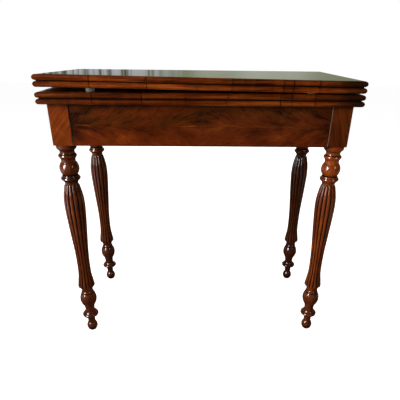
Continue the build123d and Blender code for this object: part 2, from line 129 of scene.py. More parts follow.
class TopSizes(bpy.types.PropertyGroup):
    """Sizes of the double top"""

    width: size("Width", "Along the front", 0.780)
    depth: size("Depth", "Of one leaf", 0.390)
    thickness: size("Leaf", "Thickness of one leaf", 0.028)
    lipping: size("Edging", "Width of the edging", 0.014)
    quirk: size("Quirk", "Between the two beads", 0.0016)
    band: size("Crossband", "Width round the baize", 0.045)
    face_gap: size("Leaf gap", "Half the gap when shut", 0.00015)
    rear_gap: size("Rear gap", "Behind the hinge line", 0.00025)
    joint: size("Joint", "Gap between lengths of edging", 0.0006)
    left_rise: size("Left rise", "Of the leaf in twist", 0.0106)
    right_rise: size("Right rise", "Of the leaf in twist", 0.0024)
    hinge_height: size("Hinge line", "Above the floor", 0.722)


class LegSizes(bpy.types.PropertyGroup):
    """Sizes of a turned and reeded leg"""

    height: size("Height", "Floor to block", 0.594)
    radius: size("Radius", "At the swelling", 0.0275)
    reeds: bpy.props.IntProperty(name="Reeds", description="Round the swelling", default=14, min=6, max=24)
    reed_sides: bpy.props.IntProperty(name="Sides", description="Faces to a reed", default=10, min=4, max=16)
    softening: size("Worn arris", "On the rings", 0.0004)


class FinishColours(bpy.types.PropertyGroup):
    """Colours of the polish, the cloth and the metal"""

    wood_dark: tint("Wood, dark", "Pores and figure", 0.022, 0.0040, 0.0008)
    wood_mid: tint("Wood, middle", "Ground of the wood", 0.120, 0.0215, 0.0024)
    wood_light: tint("Wood, light", "Flashes of the figure", 0.31, 0.068, 0.0075)
    cloth: tint("Baize", "Playing surface", 0.013, 0.060, 0.026)
    # The pads' felt is darkened by painted shade, as they sit in the shade between the leaves
    pad: tint("Pads", "Felt between the leaves", 0.24, 0.25, 0.21)
    brass: tint("Brass", "Hinges and bush", 0.62, 0.42, 0.16)
    steel: tint("Steel", "Pivot bolt and plate", 0.30, 0.29, 0.27)
    carcase: tint("Carcase", "Unpolished wood inside", 0.38, 0.22, 0.10)


class StageSettings(bpy.types.PropertyGroup):
    """Camera, lamps and surroundings"""

    camera_place: bpy.props.FloatVectorProperty(
        name="Camera", description="Place", subtype="TRANSLATION", default=(-0.0145, -1.1709, 0.829)
    )
    yaw: turned_by("Yaw", "Camera", -1.68)
    pitch: turned_by("Pitch", "Down", 26.65)
    roll: turned_by("Roll", "Camera", 0.76)
    lens: amount("Lens", "Focal length in millimetres", 35.39)
    shift_x: amount("Shift across", "Share of the frame", -0.015)
    shift_y: amount("Shift up", "Share of the frame", 0.10)
    key_power: amount("Key lamp", "Power", 37.0, subtype="POWER")
    fill_power: amount("Fill lamp", "Power; other lamps are shares of it", 4.0, subtype="POWER")
    floor_colour: tint("Floor", "Pale floor", 0.85, 0.85, 0.85)


class CardTable(bpy.types.PropertyGroup):
    """All settings of the card table"""

    top: bpy.props.PointerProperty(name="Top", description="Double top", type=TopSizes)
    leg: bpy.props.PointerProperty(name="Legs", description="Turned legs", type=LegSizes)
    colours: bpy.props.PointerProperty(name="Colours", description="Finishes", type=FinishColours)
    stage: bpy.props.PointerProperty(name="Stage", description="Camera and light", type=StageSettings)


def settings():
    return bpy.context.scene.card_table


# Selecting and shaping


def deselect():
    if bpy.context.mode != "OBJECT":
        bpy.ops.object.mode_set(mode="OBJECT")
    bpy.ops.object.select_all(action="DESELECT")


def activate(piece):
    deselect()
    piece.select_set(True)
    bpy.context.view_layer.objects.active = piece


def edit(piece, action="DESELECT", kind="VERT"):
    """Open a piece in edit mode with nothing selected, or with all of it."""
    activate(piece)
    bpy.ops.object.mode_set(mode="EDIT")
    bpy.ops.mesh.select_mode(type=kind)
    bpy.ops.mesh.select_all(action=action)


def middle_of(item):
    if isinstance(item, bmesh.types.BMVert):
        return item.co.copy()
    return sum((vert.co for vert in item.verts), Vector()) / len(item.verts)


def choose(piece, kind, test):
    """Select each VERT, EDGE or FACE whose middle (and item) pass a test."""
    bpy.ops.mesh.select_mode(type=kind)
    mesh = bmesh.from_edit_mesh(piece.data)
    for item in getattr(mesh, kind.lower() + "s"):
        item.select_set(bool(test(middle_of(item), item)))
    mesh.select_flush_mode()
    bmesh.update_edit_mesh(piece.data)


def cut_through(place, normal, **rest):
    """Cut all of the open piece by a plane."""
    bpy.ops.mesh.select_all(action="SELECT")
    bpy.ops.mesh.bisect(plane_co=place, plane_no=normal, **rest)


def draw_out(move):
    """Extrude what is selected."""
    bpy.ops.mesh.extrude_region_move(TRANSFORM_OT_translate={"value": move})


def named(name):
    """Name the object that an operator has just added."""
    piece = bpy.context.object
    piece.name = name
    piece.data.name = name
    return piece


def box_of(node):
    """Lowest corner, highest corner and middle of a fixed node."""
    low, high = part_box(node)
    return low, high, (low + high) / 2


def begin(name, add_primitive, spread=(1, 1, 1), **values):
    """Begin a piece as a primitive spread out along each axis, with its place in its mesh."""
    deselect()
    add_primitive(**values)
    bpy.ops.transform.resize(value=spread)
    bpy.ops.object.transform_apply()
    return named(name)


def block(name, low, high):
    """A box between two corners."""
    low, high = Vector(low), Vector(high)
    return begin(name, bpy.ops.mesh.primitive_cube_add, high - low, size=1, location=(low + high) / 2)


def apply_modifier(piece, kind, **values):
    activate(piece)
    modifier = piece.modifiers.new(kind.title(), kind)
    for key, value in values.items():
        setattr(modifier, key, value)
    bpy.ops.object.modifier_apply(modifier=modifier.name)


def ease(piece, width, segments, degrees):
    """Round over the arrises that are sharper than an angle."""
    limit = math.radians(degrees)
    apply_modifier(piece, "BEVEL", width=width, segments=segments, limit_method="ANGLE", angle_limit=limit)


def close_shape(piece, degrees=30, merge=MERGE):
    """Merge doubles, point the faces outwards, smooth all but the sharp edges and keep flat faces flat."""
    edit(piece, "SELECT")
    if piece.data.has_custom_normals:
        bpy.ops.mesh.customdata_custom_splitnormals_clear()
    bpy.ops.mesh.remove_doubles(threshold=merge)
    bpy.ops.mesh.normals_make_consistent(inside=False)
    bpy.ops.object.mode_set(mode="OBJECT")
    bpy.ops.object.shade_smooth_by_angle(angle=math.radians(degrees))
    apply_modifier(piece, "WEIGHTED_NORMAL", keep_sharp=True)


def node_copy(node, name, worn=0.0, degrees=30):
    """A merged copy of a fixed node with its arrises eased, to stand for that node."""
    piece = bpy.data.objects.new(name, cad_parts[node].data.copy())
    bpy.context.scene.collection.objects.link(piece)
    piece.data.name = name
    piece.data.materials.clear()
    edit(piece, "SELECT")
    bpy.ops.mesh.customdata_custom_splitnormals_clear()
    bpy.ops.mesh.remove_doubles(threshold=MERGE)
    bpy.ops.mesh.dissolve_limited(angle_limit=math.radians(0.2))
    if worn:
        ease(piece, worn, 2, degrees)
    close_shape(piece, degrees)
    return piece


def copy_piece(piece, name, move):
    """A copy with its own mesh, moved within its mesh."""
    activate(piece)
    bpy.ops.object.duplicate(linked=False)
    made = named(name)
    made.location = Vector(move)
    bpy.ops.object.transform_apply()
    return made


def join(pieces, name):
    deselect()
    for piece in pieces:
        piece.select_set(True)
    bpy.context.view_layer.objects.active = pieces[0]
    bpy.ops.object.join()
    return named(name)


def settle(piece, body, finish, node):
    """Give a piece its finish, its body and the fixed node that it stands for."""
    piece.data.materials.clear()
    piece.data.materials.append(finish)
    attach(piece, body)
    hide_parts(node)
    deselect()


def fit(node, name, body, finish, worn=0.0, degrees=30):
    """Put an eased copy of a fixed node in that node's place."""
    settle(node_copy(node, name, worn, degrees), body, finish, node)


# The leaf that is in twist


def cloth_half():
    """Half the width between the inner edges of the end crossbands."""
    top = settings().top
    return top.width / 2 - top.lipping - top.band


def held_within(x, half):
    return min(max(x, -half), half)


def twist_at(x):
    """Angle by which the upper leaf is raised about the hinge line at x."""
    top = settings().top
    half = cloth_half()
    share = (held_within(x, half) + half) / (2 * half)
    left = math.atan2(top.left_rise, top.depth)
    right = math.atan2(top.right_rise, top.depth)
    return left + (right - left) * share


def cut_columns(piece, columns):
    """Cut a piece into columns between the end crossbands, so that it can follow the twist."""
    edit(piece)
    for number in range(columns + 1):
        cut_through((cloth_half() * (2 * number / columns - 1), 0, 0), (1, 0, 0))
    bpy.ops.object.mode_set(mode="OBJECT")


def raise_leaf(piece):
    """Turn each row of points of a flat upper piece about the hinge line by the leaf's twist there."""
    top = settings().top
    half = cloth_half()
    hinge_line = (0, top.depth / 2, top.hinge_height)
    edit(piece)
    mesh = bmesh.from_edit_mesh(piece.data)
    same_row = 0.02 * MM
    rows = []
    for x in sorted(held_within(vert.co.x, half) for vert in mesh.verts):
        if not rows or x - rows[-1] > same_row:
            rows.append(x)
    for row in rows:
        choose(piece, "VERT", lambda at, item: -same_row / 2 < held_within(at.x, half) - row <= same_row)
        bpy.ops.transform.rotate(
            value=twist_at(row), orient_axis="X", orient_type="GLOBAL", center_override=hinge_line
        )
    bpy.ops.object.mode_set(mode="OBJECT")


# Nodes of the materials


def feed(tree, socket, value):
    """Link a socket to a wire, or set it to a number or a colour."""
    if isinstance(value, Wire):
        tree.links.new(value.socket, socket)
    else:
        socket.default_value = value


def lead(tree, sockets, **values):
    """Feed each socket the value of its name."""
    for key, value in values.items():
        feed(tree, sockets[key.replace("_", " ")], value)


def add(tree, kind, values=None, *ordered, **by_name):
    """Add a node, set its values, feed its inputs in order or by name, and give its outputs."""
    made = tree.nodes.new(kind)
    for key, value in (values or {}).items():
        setattr(made, key, value)
    for socket, value in zip(made.inputs, ordered):
        feed(tree, socket, value)
    lead(tree, made.inputs, **by_name)
    return Wires(tree, made.outputs)


class Wires:
    """The outputs of a node, by number or name."""

    def __init__(self, tree, sockets):
        self.tree = tree
        self.sockets = sockets

    def __getitem__(self, key):
        return Wire(self.tree, self.sockets[key])


class Wire:
    """One output of a node. Sums are written on it as sums, and each adds its node to the tree."""

    def __init__(self, tree, socket):
        self.tree = tree
        self.socket = socket

    def maths(self, operation, second=0.0, third=0.0):
        return add(self.tree, "ShaderNodeMath", {"operation": operation}, self, second, third)[0]

    def __add__(self, other):
        return self.maths("ADD", other)

    def __sub__(self, other):
        return self.maths("SUBTRACT", other)

    def __mul__(self, other):
        return self.maths("MULTIPLY", other)

    def __abs__(self):
        return self.maths("ABSOLUTE")

    def rest(self):
        """What is left of one."""
        return add(self.tree, "ShaderNodeMath", {"operation": "SUBTRACT"}, 1.0, self, 0.0)[0]

    def step(self, low, high):
        """Smooth step from low to high."""
        smooth = {"interpolation_type": "SMOOTHSTEP"}
        return add(self.tree, "ShaderNodeMapRange", smooth, self, low, high, 0.0, 1.0)[0]

    def mix(self, first, second, blend="MIX"):
        """From the first colour to the second by this share."""
        made = self.tree.nodes.new("ShaderNodeMix")
        made.data_type, made.blend_type, made.clamp_factor = "RGBA", blend, True
        for place, value in ((0, self), (6, first), (7, second)):
            feed(self.tree, made.inputs[place], value)
        return Wire(self.tree, made.outputs[2])

    def split(self):
        return add(self.tree, "ShaderNodeSeparateXYZ", None, self)

    def laid(self, scale=(1, 1, 1), turn=(0, 0, 0), move=(0, 0, 0)):
        """The same place stretched, turned and moved."""
        return add(self.tree, "ShaderNodeMapping", Vector=self, Scale=scale, Rotation=turn, Location=move)[0]

    def noise(self, scale, detail, roughness=0.55, distortion=0.0, move=(0, 0, 0)):
        """Noise at one scale, or at a scale for each axis."""
        if isinstance(scale, tuple):
            return self.laid(scale, move=move).noise(1.0, detail, roughness, distortion)
        return add(
            self.tree, "ShaderNodeTexNoise", Vector=self, Scale=scale, Detail=detail, Roughness=roughness,
            Distortion=distortion,
        )[0]

    def relief(self, strength, depth=0.0004):
        return add(self.tree, "ShaderNodeBump", Strength=strength, Distance=depth, Height=self)["Normal"]


COLOUR, VALUE, VECTOR = "NodeSocketColor", "NodeSocketFloat", "NodeSocketVector"
WOOD_INPUTS = {"Vector": VECTOR, "Dark": COLOUR, "Middle": COLOUR, "Light": COLOUR}
WOOD_OUTPUTS = {"Colour": COLOUR, "Roughness": VALUE, "Height": VALUE}
BEYOND = 10.0


def new_group(name, inputs, outputs):
    """A node group with named sockets; a number is the default of a value's socket."""
    tree = bpy.data.node_groups.new(name, "ShaderNodeTree")
    for label, kind in inputs.items():
        number = isinstance(kind, float)
        socket = tree.interface.new_socket(name=label, in_out="INPUT", socket_type=VALUE if number else kind)
        if number:
            socket.default_value = kind
    for label, kind in outputs.items():
        tree.interface.new_socket(name=label, in_out="OUTPUT", socket_type=kind)
    return tree, add(tree, "NodeGroupInput"), tree.nodes.new("NodeGroupOutput").inputs


def shade_and_grime_group(name):
    """Painted shade with some grime in the recesses, from ambient occlusion, and a mask of the open parts,
    where the polish is kept.
    """
    inputs = {"Colour": COLOUR, "Dirt": 0.7, "Reach": 0.006, "Filled": 0.0}
    tree, taken, given = new_group(name, inputs, {"Colour": COLOUR, "Open": VALUE})
    shade = add(tree, "ShaderNodeAmbientOcclusion", {"samples": 8}, Distance=taken["Reach"])["AO"]
    covered = taken["Filled"].maths("MULTIPLY_ADD", 0.35, 0.25)
    cleared = taken["Filled"].maths("MULTIPLY_ADD", 0.19, 0.75)
    open_part = shade.step(covered, cleared)
    # Painted shade with some grime: near-black where the surroundings are closed off
    shaded = (open_part.rest() * taken["Dirt"]).mix(taken["Colour"], (0.006, 0.003, 0.002, 1))
    lead(tree, given, Colour=shaded, Open=open_part)
    return tree


def grain_group(name):
    """Straight mahogany grain along X: streaks, short pores and a soft ripple across them."""
    inputs = {**WOOD_INPUTS, "Contrast": 0.7, "Ripple": 0.35, "Tone": 0.5}
    tree, taken, given = new_group(name, inputs, WOOD_OUTPUTS)
    place = taken["Vector"]
    streaks = place.noise((2.2, 34.0, 34.0), 4.0, 0.6, 0.35)
    fine = place.noise((9.0, 260.0, 260.0), 3.0, 0.6)
    pores = place.noise((42.0, 900.0, 900.0), 1.0, 0.5)
    ripple = place.noise((46.0, 7.0, 7.0), 2.0, 0.5, 0.6)
    spread = (streaks * 0.6 + fine * 0.4 - 0.5) * taken["Contrast"] * 2.0
    toned = spread + (taken["Tone"] - 0.5) * 0.55 + 0.5
    low = toned.step(0.28, 0.54).mix(taken["Dark"], taken["Middle"])
    high = toned.step(0.48, 0.74).mix(low, taken["Light"])
    lit = (ripple.step(0.45, 0.70) * taken["Ripple"]).mix(high, taken["Light"])
    pore = pores.step(0.60, 0.72) * 0.55
    colour = pore.mix(lit, taken["Dark"])
    lead(tree, given, Colour=colour, Roughness=fine * 0.20 + 0.30, Height=fine * 0.4 - pore)
    return tree


def flame_group(name):
    """Crotch figure, mirrored about the middle: barbs leave a level spine, and the lower half is brighter
    with painted light.
    """
    inputs = {**WOOD_INPUTS, "Pale end": BEYOND, "Dark end": -BEYOND}
    tree, taken, given = new_group(name, inputs, WOOD_OUTPUTS)
    place = taken["Vector"]
    parts = place.split()
    side, rise = parts[0], parts[2]
    wander = (place.noise((11.0, 11.0, 17.0), 3.0) - 0.5) * 0.06
    across = abs(side) + wander
    height = rise + wander * 0.12
    off_spine = abs(height)
    lower = height.step(0.004, -0.004)
    barb = across + off_spine.maths("POWER", 0.62) * 0.62

    def along_barbs(wide, high, apart):
        """The place as the barbs run, with the two halves moved apart."""
        return add(tree, "ShaderNodeCombineXYZ", None, barb * wide, height * high, lower * apart)[0]

    # The figure: strokes and shimmer that follow the barbs, over clouds and mottle
    strokes = along_barbs(240.0, 60.0, 3.0).noise(1.0, 4.0, 0.65, 0.9)
    shimmer = along_barbs(21.0, 26.0, 5.0).noise(1.0, 2.0, 0.5)
    clouds = place.noise((7.0, 7.0, 20.0), 3.0, move=(1.3, 0, 0.4))
    mottle = place.noise((34.0, 34.0, 55.0), 3.0, 0.6, 0.8)
    figure = ((shimmer * 0.26 + clouds * 0.26) + (strokes * 0.30 + mottle * 0.18) - 0.5) * 1.5 + 0.5
    # Painted light: the lower half is lighter, as it is out of the overhang's shadow
    painted_light_below = lower * off_spine.step(0.004, 0.030) * 0.09
    seen = figure + painted_light_below - across.step(0.265, 0.325) * 0.10
    lens = place.noise((16.0, 1.0, 260.0), 2.0, 0.6, move=(2.1, 0, 0.2))
    lit = seen + off_spine.step(0.0035, 0.0) * lens.step(0.52, 0.66) * 0.22
    low = lit.step(0.34, 0.60).mix(taken["Dark"], taken["Middle"])
    high = lit.step(0.56, 0.86).mix(low, taken["Light"])

    # Olive above the spine, redder below it
    olive = height.step(-0.006, 0.010) * clouds.step(0.60, 0.42)
    redder_below = height.step(0.0, -0.03) * 0.45
    colour = redder_below.mix(olive.mix(high, (0.86, 1.12, 0.88, 1), "MULTIPLY"), (1.0, 0.72, 0.62, 1), "MULTIPLY")

    # A few pale specks, the pale and the dark joint beside the blocks, and the red lower edge
    cells = add(tree, "ShaderNodeTexVoronoi", Vector=place, Scale=26.0)
    few = cells["Color"].split()[0].maths("GREATER_THAN", 0.72)
    specks = few * cells["Distance"].step(0.035, 0.018) * 0.8
    colour = specks.mix(colour, (0.55, 0.45, 0.38, 1))
    colour = (side.maths("GREATER_THAN", taken["Pale end"]) * 0.85).mix(colour, (0.62, 0.52, 0.46, 1))
    colour = side.maths("LESS_THAN", taken["Dark end"]).mix(colour, (0.0015, 0.0008, 0.0005, 1))
    colour = (rise.step(-0.0468, -0.0475) * 0.8).mix(colour, (0.085, 0.012, 0.004, 1))
    lead(tree, given, Colour=colour, Roughness=strokes * 0.2 + 0.28, Height=strokes * 0.4)
    return tree


GROUPS = {"Age": shade_and_grime_group, "Mahogany grain": grain_group, "Flame figure": flame_group}


def shared(tree, label, **inputs):
    """Place a group that materials share; it is built the first time."""
    group = bpy.data.node_groups.get(label) or GROUPS[label](label)
    return add(tree, "ShaderNodeGroup", {"node_tree": group}, **inputs)


# Finishes


def scaled(colour, factor):
    return (colour[0] * factor, colour[1] * factor, colour[2] * factor, 1)


def wood_colours(depth):
    """Dark, middle and light wood; depth makes them lighter or darker."""
    colours = settings().colours
    tones = (colours.wood_dark, colours.wood_mid, colours.wood_light)
    return {label: scaled(tone, depth) for label, tone in zip(("Dark", "Middle", "Light"), tones)}


def dress(material, **sockets):
    """Set the sockets of the material's shader, or lead what is worked out to them."""
    tree = material.node_tree
    lead(tree, tree.nodes["Principled BSDF"].inputs, **sockets)
    return material


def new_material(name, **constants):
    """A material with the constants of its shader, its tree and its object coordinates."""
    material = bpy.data.materials.new(name)
    material.use_nodes = True
    dress(material, **constants)
    tree = material.node_tree
    return material, tree, add(tree, "ShaderNodeTexCoord")["Object"]


def polished_wood(name, turn=(0, 0, 0), move=(0, 0, 0), depth=1.0, contrast=0.7, ripple=0.3, toned=False,
                  dirt=0.7, reach=0.006, coat=0.8, coat_roughness=0.07, bump=0.12, filled=0.0, sheen=0.0,
                  leg_darkening=None, corner_shade=None):
    """French-polished mahogany. turn lays the grain along the piece, depth makes it lighter or darker.

    The leg argument holds the shares of painted shade under a leg's ball, of darkening towards its foot, and
    of painted shade on its ball. The corner argument holds where the painted shade towards the right front
    corner starts, where it is full, and its share.
    """
    material, tree, place = new_material(
        name, Coat_Roughness=coat_roughness, Coat_IOR=1.5, Specular_IOR_Level=sheen
    )
    tone = {"Tone": add(tree, "ShaderNodeAttribute", {"attribute_name": "tone"})["Fac"]} if toned else {}
    grain = shared(
        tree, "Mahogany grain", Vector=place.laid(turn=turn, move=move), Contrast=contrast, Ripple=ripple,
        **wood_colours(depth), **tone,
    )
    colour = grain["Colour"]
    # Painted shade under the ball and on the ball, and a darkening towards the foot
    if leg_darkening:
        height = place.split()[2]
        under, foot, ball = leg_darkening
        darkening_mask = height.step(0.522, 0.500) * under + height.step(0.19, 0.10) * foot
        darkening_mask += height.step(0.485, 0.500) * ball
        colour = darkening_mask.mix(colour, (0.020, 0.0058, 0.0022, 1))
    # Painted shade towards the right front corner, where the lamps reach less
    if corner_shade:
        parts = place.split()
        start, full, share = corner_shade
        darkening_mask = parts[0].step(start, full) * (parts[1].step(-0.13, -0.18) * share)
        colour = darkening_mask.mix(colour, (0.006, 0.0035, 0.0012, 1))
    shade_and_grime = shared(tree, "Age", Colour=colour, Dirt=dirt, Reach=reach, Filled=filled)
    return dress(
        material, Base_Color=shade_and_grime["Colour"], Coat_Weight=shade_and_grime["Open"] * coat, Roughness=grain["Roughness"],
        Normal=grain["Height"].relief(bump),
    )


def flamed_veneer(name, middle, turn, **ends):
    """Figured veneer with the middle of the figure at the middle of the piece."""
    material, tree, place = new_material(name, Coat_Roughness=0.08, Coat_IOR=1.5, Specular_IOR_Level=0.03)
    laid = place.laid(move=-middle).laid(turn=turn)
    figure = shared(tree, "Flame figure", Vector=laid, **wood_colours(1.0), **ends)
    # Painted shadow under the top's overhang, and painted shade in the recesses
    shade_and_grime = shared(tree, "Age", Colour=figure["Colour"], Dirt=0.95, Reach=0.022, Filled=0.6)
    return dress(
        material, Base_Color=shade_and_grime["Colour"], Coat_Weight=shade_and_grime["Open"] * 0.8, Roughness=figure["Roughness"],
        Normal=figure["Height"].relief(0.08),
    )


def bare_wood(name, turn=(0, 0, 0), dirt=0.85, filled=0.0):
    """Unpolished wood of the carcase, browned, and darker in its recesses by painted shade and some grime."""
    colour = settings().colours.carcase
    material, tree, place = new_material(name, Specular_IOR_Level=0.25, Roughness=0.75)
    grain = shared(
        tree, "Mahogany grain", Vector=place.laid(turn=turn), Dark=scaled(colour, 0.35), Middle=tuple(colour),
        Light=scaled(colour, 1.25), Contrast=0.6, Ripple=0.05,
    )
    shade_and_grime = shared(tree, "Age", Colour=grain["Colour"], Dirt=dirt, Reach=0.02, Filled=filled)
    return dress(material, Base_Color=shade_and_grime["Colour"], Normal=grain["Height"].relief(0.3, 0.0005))


def old_metal(name, colour, brushed=(1, 1, 1), roughness=0.34):
    """Aged metal: brushed, mottled, darker in its recesses."""
    material, tree, place = new_material(name, Metallic=0.65)
    patches = place.noise(120.0, 4.0, 0.6)
    brush = place.laid(brushed).noise(900.0, 2.0, 0.6)
    stained = patches.step(0.42, 0.66).mix(tuple(colour), scaled(colour, 0.4))
    shade_and_grime = shared(tree, "Age", Colour=stained, Dirt=0.8, Reach=0.003)
    return dress(
        material, Base_Color=shade_and_grime["Colour"], Roughness=patches * 0.3 + (roughness - 0.1),
        Normal=brush.relief(0.15, 0.0002),
    )


def woven_cloth(name, colour, nap, strength, reach=0.0):
    """Napped wool: fine fibre, worn patches and a soft sheen; reach is how far shade gets under a cover."""
    material, tree, place = new_material(
        name, Sheen_Weight=0.2, Sheen_Roughness=0.5, Sheen_Tint=scaled(colour, 2.0), Specular_IOR_Level=0.05,
        Roughness=0.95,
    )
    fibre = place.noise(nap, 2.0, 0.7, 0.6)
    faded = place.noise(9.0, 4.0, 0.6).step(0.45, 0.75).mix(tuple(colour), scaled(colour, 1.6))
    seen = fibre.step(0.35, 0.65).mix(scaled(colour, 0.55), faded)
    if reach:
        seen = shared(tree, "Age", Colour=seen, Dirt=1.0, Reach=reach)["Colour"]
    return dress(material, Base_Color=seen, Normal=fibre.relief(strength, 0.0003))


# Legs


def arc_points(first, between, last):
    """Points on the circle through three points, from the first to the last."""
    ax, ay = first
    bx, by = between
    cx, cy = last
    d = 2 * (ax * (by - cy) + bx * (cy - ay) + cx * (ay - by))
    ux = ((ax**2 + ay**2) * (by - cy) + (bx**2 + by**2) * (cy - ay) + (cx**2 + cy**2) * (ay - by)) / d
    uy = ((ax**2 + ay**2) * (cx - bx) + (bx**2 + by**2) * (ax - cx) + (cx**2 + cy**2) * (bx - ax)) / d
    radius = math.hypot(ax - ux, ay - uy)
    start, half, end = (math.atan2(y - uy, x - ux) for x, y in (first, between, last))
    sweep = (end - start) % math.tau
    if (half - start) % math.tau > sweep:
        sweep -= math.tau
    angles = (start + sweep * step / ARC_STEPS for step in range(ARC_STEPS + 1))
    return [(ux + radius * math.cos(angle), uy + radius * math.sin(angle)) for angle in angles]


def turned_outline(outline, leg):
    """Points of a turned stretch in metres, with each arris rounded over as wear leaves it."""
    placed = [(r * leg.radius, h * leg.height) for r, h, *_ in outline]
    is_arc = [len(point) == 3 for point in outline]
    points = []
    for number in range(1, len(outline)):
        if is_arc[number]:
            continue
        run = placed[number - 1 : number + 1]
        if is_arc[number - 1]:
            run = arc_points(*placed[number - 2 : number + 1])
        points += run[1:] if points else run
    smooth_enough = 158
    soft = [points[0]]
    for before, here, after in zip(points, points[1:], points[2:]):
        a, b, c = Vector(before), Vector(here), Vector(after)
        back, on = (a - b), (c - b)
        if math.degrees(back.angle(on)) > smooth_enough:
            soft.append(here)
            continue
        reach = min(leg.softening, back.length * 0.45, on.length * 0.45)
        start, end = b + back.normalized() * reach, b + on.normalized() * reach
        soft += [tuple(start), tuple((start + end) / 4 + b / 2), tuple(end)]
    return soft + [points[-1]]


def reed_share(angle, depth):
    """Radius of a reed's section as a share of its crest, at an angle from the crest."""
    if depth <= 0:
        return 1.0
    half = math.pi / settings().leg.reeds
    groove = 1 - depth
    middle = (1 - groove**2) / (2 * (1 - groove * math.cos(half)))
    round_off = 1 - middle
    return middle * math.cos(angle) + math.sqrt(max(round_off**2 - (middle * math.sin(angle)) ** 2, 0.0))


def widen(ratio):
    """Resize what is selected about the leg's axis."""
    bpy.ops.transform.resize(value=(ratio, ratio, 1), center_override=(0, 0, 0))


def cut_reeds(piece, level, before, after):
    """Move the points of the top ring from one depth of reed to another."""
    leg = settings().leg
    count = leg.reeds * leg.reed_sides
    same_level = 0.05 * MM
    for place in range(leg.reed_sides // 2 + 1):
        offset = math.pi / leg.reeds * (1 - 2 * place / leg.reed_sides)
        ratio = reed_share(offset, after) / reed_share(offset, before)
        if abs(ratio - 1) < TINY:
            continue

        def on_reed(middle, item):
            if abs(middle.z - level) > same_level:
                return False
            index = round(math.atan2(middle.y, middle.x) / math.tau * count) % leg.reed_sides
            return index in (place, leg.reed_sides - place)

        choose(piece, "VERT", on_reed)
        widen(ratio)
    choose(piece, "FACE", lambda middle, item: abs(middle.z - level) < same_level)


def turned_leg(name):
    """One leg on the Z axis, drawn up ring by ring from the foot to the dowel."""
    leg = settings().leg
    points = [(r, h, 0.0) for r, h in turned_outline(FOOT_TO_REEDS, leg)]
    points += [(r * leg.radius, h * leg.height, *(depth or [GROOVE])) for r, h, *depth in REEDED_SWELLING]
    points += [(r, h, 0.0) for r, h in turned_outline(NECK_TO_COLLAR, leg)]
    fixed_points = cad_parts["leg_front_left"].data.vertices
    top = max(vert.co.z for vert in fixed_points)
    ring = [vert.co.x for vert in fixed_points if top - vert.co.z < MERGE]
    dowel = (max(ring) - min(ring)) / 2
    chamfer, gap = 0.001, 0.00005
    points += [(dowel, leg.height + gap, 0.0), (dowel, top - chamfer, 0.0), (dowel - chamfer, top, 0.0)]
    radius, height, depth = points[0]
    piece = begin(
        name, bpy.ops.mesh.primitive_circle_add, vertices=leg.reeds * leg.reed_sides, radius=radius,
        fill_type="NGON", location=(0, 0, height),
    )
    edit(piece, "SELECT", "FACE")
    for new_radius, new_height, new_depth in points[1:]:
        draw_out((0, 0, new_height - height))
        widen(new_radius / radius)
        if abs(new_depth - depth) > TINY:
            cut_reeds(piece, new_height, depth, new_depth)
        radius, height, depth = new_radius, new_height, new_depth
    bpy.ops.object.mode_set(mode="OBJECT")
    return piece


class CARDTABLE_OT_legs(bpy.types.Operator):
    """Turn and reed one leg, then stand a copy under each corner block"""

    bl_idname = "cardtable.legs"
    bl_label = "Legs"

    def execute(self, context):
        model = turned_leg("leg_model")
        close_shape(model, 38, FINE_MERGE)
        # Lit and shaded copies of one mahogany: painted light makes the front legs lighter than the back
        # ones, the front right lightest
        lit_and_shaded_depths = {"front_left": 2.0, "front_right": 2.5, "back_left": 1.4, "back_right": 1.05}
        for corner, depth in lit_and_shaded_depths.items():
            # Painted shade on the front left leg's ball; on every leg, painted shade under the ball,
            # darkening towards the foot and near-black painted shade in the grooves
            ball = 0.5 if corner == "front_left" else 0.0
            finish = polished_wood("Leg mahogany " + corner, UPRIGHT, (0.05 * len(corner), 0.4 * depth, 0),
                                   depth, contrast=0.45, ripple=0.1, coat=1.0, dirt=0.99, reach=0.022,
                                   filled=1.28, sheen=0.08, leg_darkening=(0.40, 0.30, ball))
            middle = box_of("corner_block_" + corner)[2]
            leg = copy_piece(model, "turned_leg_" + corner, (middle.x, middle.y, 0))
            settle(leg, "frame", finish, "leg_" + corner)
        bpy.data.objects.remove(model)
        return {"FINISHED"}


# Frame under the top


class CARDTABLE_OT_blocks(bpy.types.Operator):
    """Ease the arrises of the corner blocks and polish them"""

    bl_idname = "cardtable.blocks"
    bl_label = "Corner blocks"

    def execute(self, context):
        for corner in ("front_left", "front_right", "back_left", "back_right"):
            # The left blocks are lighter by painted light and the right ones darker by painted shade, as the
            # key lamp stands to the left; painted shadow also falls under the top's overhang
            lean, depth = (50, 1.42) if corner.endswith("left") else (105, 0.74)
            finish = polished_wood("Block mahogany " + corner, (0, math.radians(lean), 0),
                                   (0.1 * len(corner), 0.3, 0), depth, contrast=0.42, ripple=0.12, coat=0.5,
                                   coat_roughness=0.1, dirt=0.95, reach=0.022, filled=0.6, sheen=0.02)
            node, name = "corner_block_" + corner, "eased_block_" + corner
            fit(node, name, "frame", finish, 0.7 * MM)
        return {"FINISHED"}


class CARDTABLE_OT_veneers(bpy.types.Operator):
    """Lay the figured veneer on the front and the ends of the frame"""

    bl_idname = "cardtable.veneers"
    bl_label = "Figured veneer"

    def execute(self, context):
        for node in ("front_veneer", "left_veneer", "right_veneer"):
            turn = (0, 0, 0) if node == "front_veneer" else SIDEWAYS
            low, high, middle = box_of(node)
            veneer = node_copy(node, "laid_" + node, 0.4 * MM)
            ends = {}
            if node == "front_veneer":
                # A pale joint line at the right end, and a leaning crack at the left end
                pale, dark, crack, lean = 0.9 * MM, 3.0 * MM, 0.0022, 0.013
                ends = {"Pale_end": high.x - pale, "Dark_end": low.x + dark}
                edit(veneer)
                cut_through((low.x + crack, 0, low.z), (-1, 0, -lean), clear_outer=True, use_fill=True)
                close_shape(veneer)
            finish = flamed_veneer("Flame " + node, middle, turn, **ends)
            settle(veneer, "frame", finish, node)
        return {"FINISHED"}


